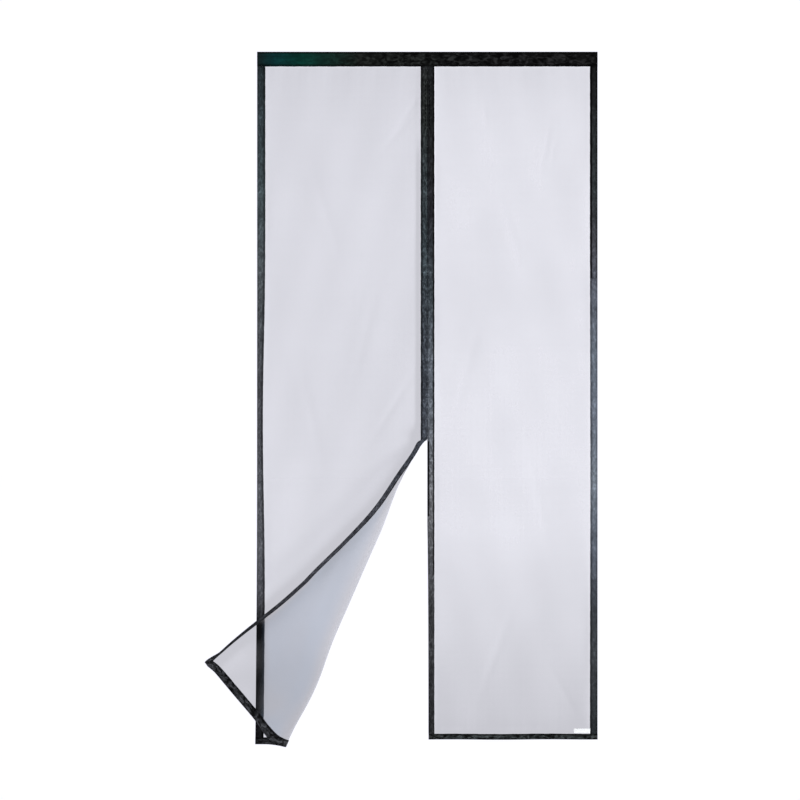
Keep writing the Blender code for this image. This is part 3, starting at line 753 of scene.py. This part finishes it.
def tape_ring(width, belly=BINDING_INSIDE):
    """The cross-section of a folded tape as a ring of (distance from the fold, t): out along the front lip,
    round the fold on a half ellipse, back along the rear, then the same inside. belly is half its hollow."""
    flat = np.linspace(width, NET_INSET, 7)
    bend = np.linspace(0.0, np.pi, 9)[1:-1]
    inner_half = BINDING_INSIDE + (belly - BINDING_INSIDE) * smooth_step((width - flat) / HEM_MOUTH)
    outer_half = inner_half + PLY
    outer_d = np.concatenate([flat, NET_INSET * (1 - np.sin(bend)), flat[::-1]])
    outer_t = np.concatenate([outer_half, (belly + PLY) * np.cos(bend), -outer_half[::-1]])
    inner_d = np.concatenate([flat, PLY + (NET_INSET - PLY) * (1 - np.sin(bend)), flat[::-1]])
    inner_t = np.concatenate([inner_half, belly * np.cos(bend), -inner_half[::-1]])
    return np.concatenate([outer_d, inner_d[::-1]]), np.concatenate([outer_t, inner_t[::-1]])


def puckered(run, width, seed, belly=BINDING_INSIDE, sewn_width=None, puff=0.00030, waver=0.00035):
    """A tape's section at each station, sewn unevenly: its lip wavers across, its faces puff between stitches."""
    distance, t = tape_ring(width, belly)
    run, distance, t = np.broadcast_arrays(run[:, None], distance[None, :], t[None, :])
    width = sewn_width or width
    at_lip = smooth_step((distance - 0.55 * width) / (0.45 * width))
    moved = distance + waver * at_lip * (uneven(run, 0.06, seed) + 0.5 * uneven(run, 0.011, seed + 1))
    middle = np.sin(np.pi * np.clip(distance / width, 0, 1))
    between = 0.4 * np.sin(np.pi * run / STITCH_PITCH)
    swell = puff * middle * (0.6 + 0.8 * uneven(run, 0.045, seed + 2) + between)
    return run, moved, t + np.where(t > 0, 1.0, -0.2) * np.maximum(swell, 0.0)


def make_tape(name, replaced, side, run, place, width, material, seed, belly=BINDING_INSIDE, bulges=()):
    """A folded tape along a path: place(run, distance) gives the flat x and z of a point of its section.

    bulges are places along the run where a magnet pushes both faces out by a smooth bump.
    """
    run, d, t = puckered(run, width, seed, belly)
    for centre in bulges:
        push = smooth_step(1.4 - np.abs(run - centre) / (MAGNET_LENGTH * 0.55))
        push = push * smooth_step(1.5 - np.abs(d - MAGNET_MIDDLE) / (MAGNET_WIDTH * 0.55))
        t = t + np.where(t > 0, BULGE_FRONT, BULGE_BACK) * push
    x, z = place(run, d)
    return make_swept(name, hang(side, x, z, t), run, d, material, replaced)


def runs(start, end):
    """Stations along a tape from start to end at the tape's step."""
    return np.linspace(start, end, int(abs(end - start) / TAPE_STEP) + 2)


def make_header():
    """The header band: the folded tape section carried straight along x, with long shallow wrinkles."""
    run, d, t = puckered(runs(-HALF_WIDTH, HALF_WIDTH), HEADER_HEIGHT + HEADER_LIP_DROP, 51,
                         sewn_width=HEADER_HEIGHT, puff=0.00025)
    ripple = 0.0004 * uneven(run + 0.35 * d, 0.07, 54) * np.sin(np.pi * np.clip(d / HEADER_HEIGHT, 0, 1))
    t = np.where(t > 0, t + np.abs(ripple), t)
    rings = np.stack(np.broadcast_arrays(run, NET_Y - t, TOP - d), axis=-1)
    return make_swept("header_band_tape", rings, run, d, HEADER_TAPE, "header_band")


def edge_place(side):
    """The edge tape is folded over the panel's outer edge."""
    return lambda run, d: (side * (HALF_WIDTH - d), run)


def drawn_in(side, z):
    """How far the right hem's folded edge is drawn in towards its lip: 1 - exp(-depth / length) below a height."""
    if side == LEFT:
        return 0.0 * z
    return HEM_DRAWN * (1.0 - np.exp(-np.maximum(DRAWN_FROM - z, 0.0) / DRAWN_LENGTH))


def hem_place(side):
    """A magnet hem: straight across from its folded edge, which touches the other panel's, to its lip."""
    def place(run, d):
        edge = HEM_TOUCH + drawn_in(side, run)
        lip = CENTRE_GAP / 2 + INNER_HEM_WIDTH * HEM_SHARE[side]
        return side * (edge + (lip - edge) * d / INNER_HEM_WIDTH), run
    return place


def foot_place(side):
    """The right foot hem is a little narrower. The left one bellies down by exp(-x^2) where the corner folds."""
    def place(run, d):
        if side == RIGHT:
            return run, BOTTOM + RIGHT_FOOT_RISE + d * RIGHT_FOOT_SHARE
        belly = FOOT_BELLY * near(run - BELLY_PLACE, BELLY_LENGTH)
        return run, BOTTOM + d - belly * (1.0 - (1.0 - BELLY_AT_LIP) * d / BOTTOM_HEM_WIDTH)
    return place


# Stitches

def stitch_shape():
    """One stitch as a spindle: four rings of four points and two flat tips, in half lengths and thread radii."""
    turns = np.linspace(0, 2 * np.pi, 4, endpoint=False)
    rings = [(-1.0, 0.25), (-0.55, 1.0), (0.55, 1.0), (1.0, 0.25)]
    points = np.array([(along, width * np.cos(a), width * np.sin(a)) for along, width in rings for a in turns])
    first = np.arange(12)
    after = first // 4 * 4 + (first + 1) % 4
    around = np.stack([first, after, after + 4, first + 4], axis=1)
    return points, np.concatenate([around, [(3, 2, 1, 0), (12, 13, 14, 15)]])


class Sewing:
    """Gathers rows of stitches and puts them in one mesh."""

    def __init__(self):
        self.points, self.quads, self.cloth, self.count = [], [], [], 0
        self.shape, self.faces = stitch_shape()

    def row(self, side, x, z, t, heading, length=STITCH_LENGTH, radius=THREAD_RADIUS):
        """Stitches at flat places x, z and offset t, each lying along heading, an angle from +x in the panel."""
        x, z, t, heading = (value[:, None] for value in np.broadcast_arrays(x, z, t, heading))
        along, wide, deep = self.shape.T * np.array([length / 2, radius, radius])[:, None]
        px = x + along * np.cos(heading) - wide * np.sin(heading)
        pz = z + along * np.sin(heading) + wide * np.cos(heading)
        points = hang(side, px, pz, t + deep) if side else np.stack([px, NET_Y - t - deep, pz], axis=-1)
        number, size = points.shape[:2]
        start = self.count + size * np.arange(number)
        self.points.append(points.reshape(-1, 3))
        self.quads.append((start[:, None, None] + self.faces[None]).reshape(-1, 4))
        self.cloth.append(np.tile(np.stack([along, wide], axis=-1), (number, 1)))
        self.count += number * size

    def piece(self, name):
        """One mesh of all the stitches gathered."""
        points, quads, cloth = (np.concatenate(part) for part in (self.points, self.quads, self.cloth))
        make_piece(name, points, turned_outward(points, quads), cloth, THREAD)


def stitched(start, end):
    """Centres of stitches at the stitch pitch between two places."""
    number = int(abs(end - start) / STITCH_PITCH)
    return start + (end - start) * (np.arange(number) + 0.5) / number


def sew_edges(side):
    """Rows along the edge tape, inner hem and bottom hem of one panel, on both faces, slightly uneven."""
    sewing = Sewing()
    z = stitched(LIP_SHOWN - 0.003, BOTTOM_LIP + 0.003)
    up = np.pi / 2
    wander = 0.0002 * uneven(z, 0.08, 61 + side)
    face = BINDING_HALF + 0.0001
    for distance, back in ((STITCH_INSET, STRIP_BACK - 0.0001), (TAPE_WIDTH[side] - 0.0022, -face)):
        x = side * (HALF_WIDTH - distance + wander)
        sewing.row(side, x, z, face + 0.00022, up)
        sewing.row(side, x, z + STITCH_PITCH / 2, back, up)
    for distance, proud in ((0.0024, POCKET_HALF - 0.0001),
                            (INNER_HEM_WIDTH * HEM_SHARE[side] - 0.0016, BINDING_HALF + 0.0003)):
        drawn = drawn_in(side, z) * (1.0 - distance / INNER_HEM_WIDTH)
        x = side * (CENTRE_GAP / 2 + distance + wander * 0.5 + drawn)
        sewing.row(side, x, z, proud, up)
        sewing.row(side, x, z + STITCH_PITCH / 2, -proud, up)
    x = side * stitched(CENTRE_GAP / 2 + drawn_in(side, BOTTOM) + 0.004, HALF_WIDTH - 0.004)
    for distance in (STITCH_INSET, BOTTOM_HEM_WIDTH - 0.0018):
        flat_x, flat_z = foot_place(side)(x, distance + 0.0002 * uneven(x, 0.07, 71 + side))
        sewing.row(side, flat_x, flat_z, face + 0.0002, 0.0)
        sewing.row(side, flat_x, flat_z, -face - 0.0001, 0.0)
    basting = np.arange(BASTING_TOP, BASTING_FOOT, -1.5 * BASTING_LENGTH)
    sewing.row(side, side * BASTING_INSET, basting, POCKET_HALF + 0.0006, up, BASTING_LENGTH, BASTING_RADIUS)
    across = side * (CENTRE_GAP / 2 + np.linspace(0.0045, 0.0135, 4))
    for centre in MAGNETS_AT:
        for edge in (-0.65, 0.65):
            for proud in (POCKET_HALF + 0.0003, -POCKET_HALF - 0.0003):
                sewing.row(side, across, centre + edge * MAGNET_LENGTH, proud, 0.0)
    sewing.piece(SIDE_NAME[side] + "_stitching")


def sew_header():
    """Rows along the header band, on both faces, and along its hook strip behind."""
    sewing = Sewing()
    x = stitched(-HALF_WIDTH + 0.004, HALF_WIDTH - 0.004)
    strip = STRIP_WIDTH / 2 - 0.0016
    for z, behind, end in ((TOP - STITCH_INSET, BINDING_HALF, 0.0), (LIP_SHOWN + 0.0025, BINDING_HALF, 0.0),
                           (strip, -STRIP_BACK, 0.012), (-strip, -STRIP_BACK, 0.012)):
        inside = x[np.abs(x) < HALF_WIDTH - end]
        sewing.row(0, inside, z + 0.00025 * uneven(inside, 0.09, 81), BINDING_HALF + 0.0004, 0.0)
        sewing.row(0, inside, z, -behind - 0.00005, 0.0)
    sewing.piece("header_stitching")


# Small pieces

def make_label():
    """The blank label: a ribbon folded double, slightly bowed off the net."""
    low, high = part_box("care_label")
    gx, gz = np.meshgrid(np.linspace(low[0], high[0], 40), np.linspace(high[2], low[2], 14))
    u, v = (gx - low[0]) / (high[0] - low[0]), (gz - low[2]) / (high[2] - low[2])
    lift = NET_THICKNESS / 2 + 0.0012 + 0.0011 * np.sin(np.pi * u) * v + 0.0007 * v ** 2
    rings = np.concatenate([hang(RIGHT, gx, gz, lift + 0.0003), hang(RIGHT, gx, gz, lift)[:, ::-1]], axis=1)
    along, across = (np.concatenate([part, part[:, ::-1]], axis=1) for part in (gx, gz))
    return make_swept("blank_label", rings, along, across, label_material(), "care_label")


def make_magnets():
    """All fourteen magnets: a rounded rectangle carried down the length of each, drawn in a little at its ends."""
    turn = np.linspace(0.0, 2 * np.pi, 16, endpoint=False)
    across, deep = (np.sign(part) * np.abs(part) ** 0.35 * half for part, half in
                    ((np.cos(turn), MAGNET_WIDTH / 2), (np.sin(turn), MAGNET_HALF)))
    down = np.array([-1.0, -0.95, -0.5, 0.0, 0.5, 0.95, 1.0])[:, None]
    drawn = np.where(np.abs(down) < 1.0, 1.0, 0.90)
    points, quads, cloth, names = [], [], [], []
    for side in SIDES:
        for number, centre in enumerate(MAGNETS_AT):
            x = side * (CENTRE_GAP / 2 + MAGNET_MIDDLE + across * drawn)
            z = centre - down * MAGNET_LENGTH / 2
            body, faces = swept_ring(hang(side, x, z, deep * drawn))
            quads.append(faces + sum(len(part) for part in points))
            points.append(body)
            cloth.append(pairs(x, z))
            names.append(f"{SIDE_NAME[side]}_magnet_{number + 1}")
    points, quads, cloth = (np.concatenate(part) for part in (points, quads, cloth))
    make_piece("sewn_in_magnets", points, quads, cloth, magnet_material(), names)


def make_side_strip(side):
    """The hook strip behind an edge tape: a thin rectangle with rounded rims carried down the panel."""
    out = HALF_WIDTH - (EDGE_TAPE_WIDTH - STRIP_WIDTH) / 2
    run = runs(TAPE_TOP, TAPE_FOOT[side])[:, None]
    front = -(BINDING_HALF + CLEARANCE)
    rim = STRIP_THICKNESS / 3
    distance = np.array([0.0, 0.0, rim, 0.5 * STRIP_WIDTH, STRIP_WIDTH - rim, STRIP_WIDTH])
    inward = front - rim * np.array([1, 1, 0, 0, 0, 1])
    ring_d = np.concatenate([distance[1:], distance[:0:-1]])
    ring_t = np.concatenate([inward[1:], front + STRIP_BACK - inward[:0:-1]])
    name = SIDE_NAME[side] + "_hook_strip"
    make_swept(name + "_band", hang(side, side * (out - ring_d), run, ring_t), run, ring_d, HOOKS, name)


# Build

nets = {side: make_net(side) for side in SIDES}
header = make_header()
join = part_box("right_edge_tape_upper")[0][2]
bound = {LEFT: [], RIGHT: []}
for name, replaced, side, start, end, material, seed in (
        ("left_edge_binding", "left_edge_tape", LEFT, TAPE_TOP, TAPE_FOOT[LEFT], LEFT_TAPE, 101),
        ("right_edge_binding_upper", "right_edge_tape_upper", RIGHT, TAPE_TOP, join, RIGHT_TAPE_UPPER, 111),
        ("right_edge_binding_lower", "right_edge_tape_lower", RIGHT, join - CLEARANCE, TAPE_FOOT[RIGHT],
         RIGHT_TAPE_LOWER, 121)):
    bound[side].append(make_tape(name, replaced, side, runs(start, end), edge_place(side), TAPE_WIDTH[side],
                                 material, seed))
for side, material in ((LEFT, LEFT_HEM), (RIGHT, RIGHT_HEM)):
    name = SIDE_NAME[side]
    bound[side].append(make_tape(name + "_magnet_hem", name + "_inner_hem", side, runs(TAPE_TOP, TAPE_FOOT[side]),
                                 hem_place(side), INNER_HEM_WIDTH, material, 131 + side, POCKET_INSIDE, MAGNETS_AT))
    foot = side * runs(CENTRE_GAP / 2 + drawn_in(side, BOTTOM), HALF_WIDTH)
    bound[side].append(make_tape(name + "_foot_hem", name + "_bottom_hem", side, foot, foot_place(side),
                                 BOTTOM_HEM_WIDTH, FOOT_TAPE, 141 + side))

sew_header()
for side in SIDES:
    sew_edges(side)
label = make_label()
make_magnets()
for side in SIDES:
    make_side_strip(side)
strip_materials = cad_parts["header_hook_strip"].data.materials
strip_materials.clear()
strip_materials.append(HOOKS)


# Floor, light and camera

def make_floor(reach=12.0):
    """A wide pale floor a little below the screen's foot: a square of twice this reach."""
    mesh = bpy.data.meshes.new("floor")
    corners = [(x * reach, y * reach, FLOOR_Z) for x, y in ((-1, -1), (1, -1), (1, 1), (-1, 1))]
    mesh.from_pydata(corners, [], [(0, 1, 2, 3)])
    mesh.materials.append(new_material("pale_floor", Roughness=0.9, Specular_IOR_Level=0.0, Base_Color=rgba(0.002),
                                       Emission_Color=STUDIO_WHITE, Emission_Strength=FLOOR_SEEN))
    add_object("floor", mesh)


def make_light(name, place, target, size, power):
    """A square soft light that faces its target and isn't seen itself."""
    light = bpy.data.lights.new(name, "AREA")
    light.size = size
    light.energy = power
    lamp = add_object(name, light)
    lamp.location = place
    x, y, z = np.array(target) - place
    lamp.rotation_euler = (np.arctan2(np.hypot(x, y), -z), 0.0, np.arctan2(x, -y) + np.pi)
    lamp.visible_camera = False


make_floor()
make_light("key", (2.4, -4.0, -1.8), (0.0, 0.0, -1.1), 1.2, 200.0)
make_light("fill", (-3.2, -3.6, 0.6), (0.0, 0.0, -1.0), 3.0, 40.0)
make_light("back", (0.5, 3.6, 0.8), (0.0, 0.0, -1.0), 3.0, 50.0)

# The room is white where the camera looks at it and lights the screen less brightly
world = scene.world = bpy.data.worlds.new("studio")
world.use_nodes = True
sockets = world.node_tree.nodes["Background"].inputs
sockets["Color"].default_value = STUDIO_WHITE
seen = node(world, "LightPath").outputs["Is Camera Ray"]
strength = node(world, "MapRange", in_Value=seen, in_To_Min=ROOM_LIGHT, in_To_Max=ROOM_SEEN)
world.node_tree.links.new(strength.outputs["Result"], sockets["Strength"])

camera_data = bpy.data.cameras.new("camera")
camera_data.sensor_width = SENSOR
camera_data.lens = SENSOR * CAMERA_DISTANCE / VIEW_WIDTH
camera_data.clip_end = 60.0
camera = add_object("camera", camera_data)
camera.location = (CAMERA_X, -CAMERA_DISTANCE, CAMERA_Z)
camera.rotation_euler = (np.pi / 2, 0.0, 0.0)
scene.camera = camera

view = scene.view_settings
view.view_transform = "Standard"
view.look = "None"
